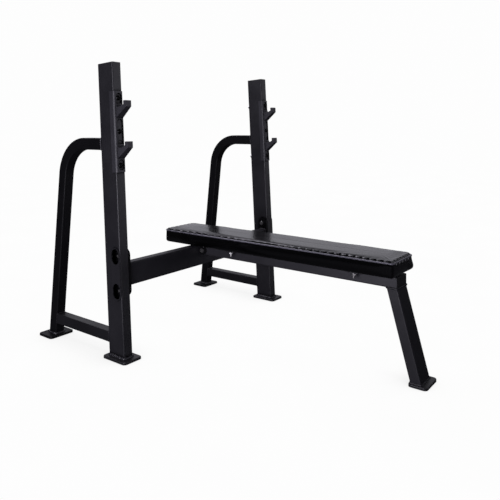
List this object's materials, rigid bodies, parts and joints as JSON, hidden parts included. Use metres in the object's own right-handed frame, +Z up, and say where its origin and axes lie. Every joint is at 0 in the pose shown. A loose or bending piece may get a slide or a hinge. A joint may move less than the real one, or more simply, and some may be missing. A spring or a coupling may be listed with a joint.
{
  "type": "olympic bench press",
  "caption": "Flat bench press: two leaning uprights with bent rear struts and double-hook bar catches, joined by a cross beam that carries a spine with one front leg and a long upholstered pad.",
  "frame": {"origin": "on the floor, midway between the uprights, below their front faces", "axes": "+Z up; +Y towards the lifter's head and the rear struts; -Y towards the front leg; X across, between the uprights"},
  "size_m": [1.125, 1.61, 1.2054],
  "materials": {
    "frame_coat": "black powder coat, semi-gloss with fine orange peel",
    "foot_coat": "black powder coat, semi-gloss, scuffed at the rim",
    "catch_coat": "black powder coat over a casting",
    "cap_plastic": "black moulded plastic, fine grain",
    "zinc_fastener": "bright zinc plate",
    "dark_fastener": "black oxide",
    "pad_vinyl": "black grained vinyl, semi-gloss",
    "pad_foam": "dense upholstery foam",
    "pad_board": "plywood"
  },
  "bodies": {
    "root": {"beam_bolt_nuts": "dark_fastener", "beam_bolt_sleeves": "dark_fastener", "beam_bolt_washers": "dark_fastener", "beam_bolts": "zinc_fastener", "bench_spine": "frame_coat", "catch_bolts": "dark_fastener", "catch_nuts": "zinc_fastener", "catch_screws": "dark_fastener", "catch_washers": "zinc_fastener", "cross_beam": "frame_coat", "foot_pad_bracket": "frame_coat", "front_leg": "frame_coat", "head_pad_bracket": "frame_coat", "left_backing_plate": "frame_coat", "left_bar_catch": "catch_coat", "left_beam_flange": "frame_coat", "left_front_foot": "foot_coat", "left_lower_rail": "frame_coat", "left_rear_foot": "foot_coat", "left_rear_strut": "frame_coat", "left_upright": "frame_coat", "left_upright_cap": "cap_plastic", "leg_foot": "foot_coat", "pad_board": "pad_board", "pad_bolts": "zinc_fastener", "pad_cover": "pad_vinyl", "pad_foam": "pad_foam", "pad_nuts": "zinc_fastener", "pad_washers": "zinc_fastener", "right_backing_plate": "frame_coat", "right_bar_catch": "catch_coat", "right_beam_flange": "frame_coat", "right_front_foot": "foot_coat", "right_lower_rail": "frame_coat", "right_rear_foot": "foot_coat", "right_rear_strut": "frame_coat", "right_upright": "frame_coat", "right_upright_cap": "cap_plastic", "spine_bolt": "zinc_fastener", "spine_bolt_nut": "zinc_fastener", "spine_bolt_washers": "zinc_fastener", "spine_bracket": "frame_coat", "spine_end_cap": "cap_plastic", "spine_sleeve": "zinc_fastener"}
  },
  "joints": []
}
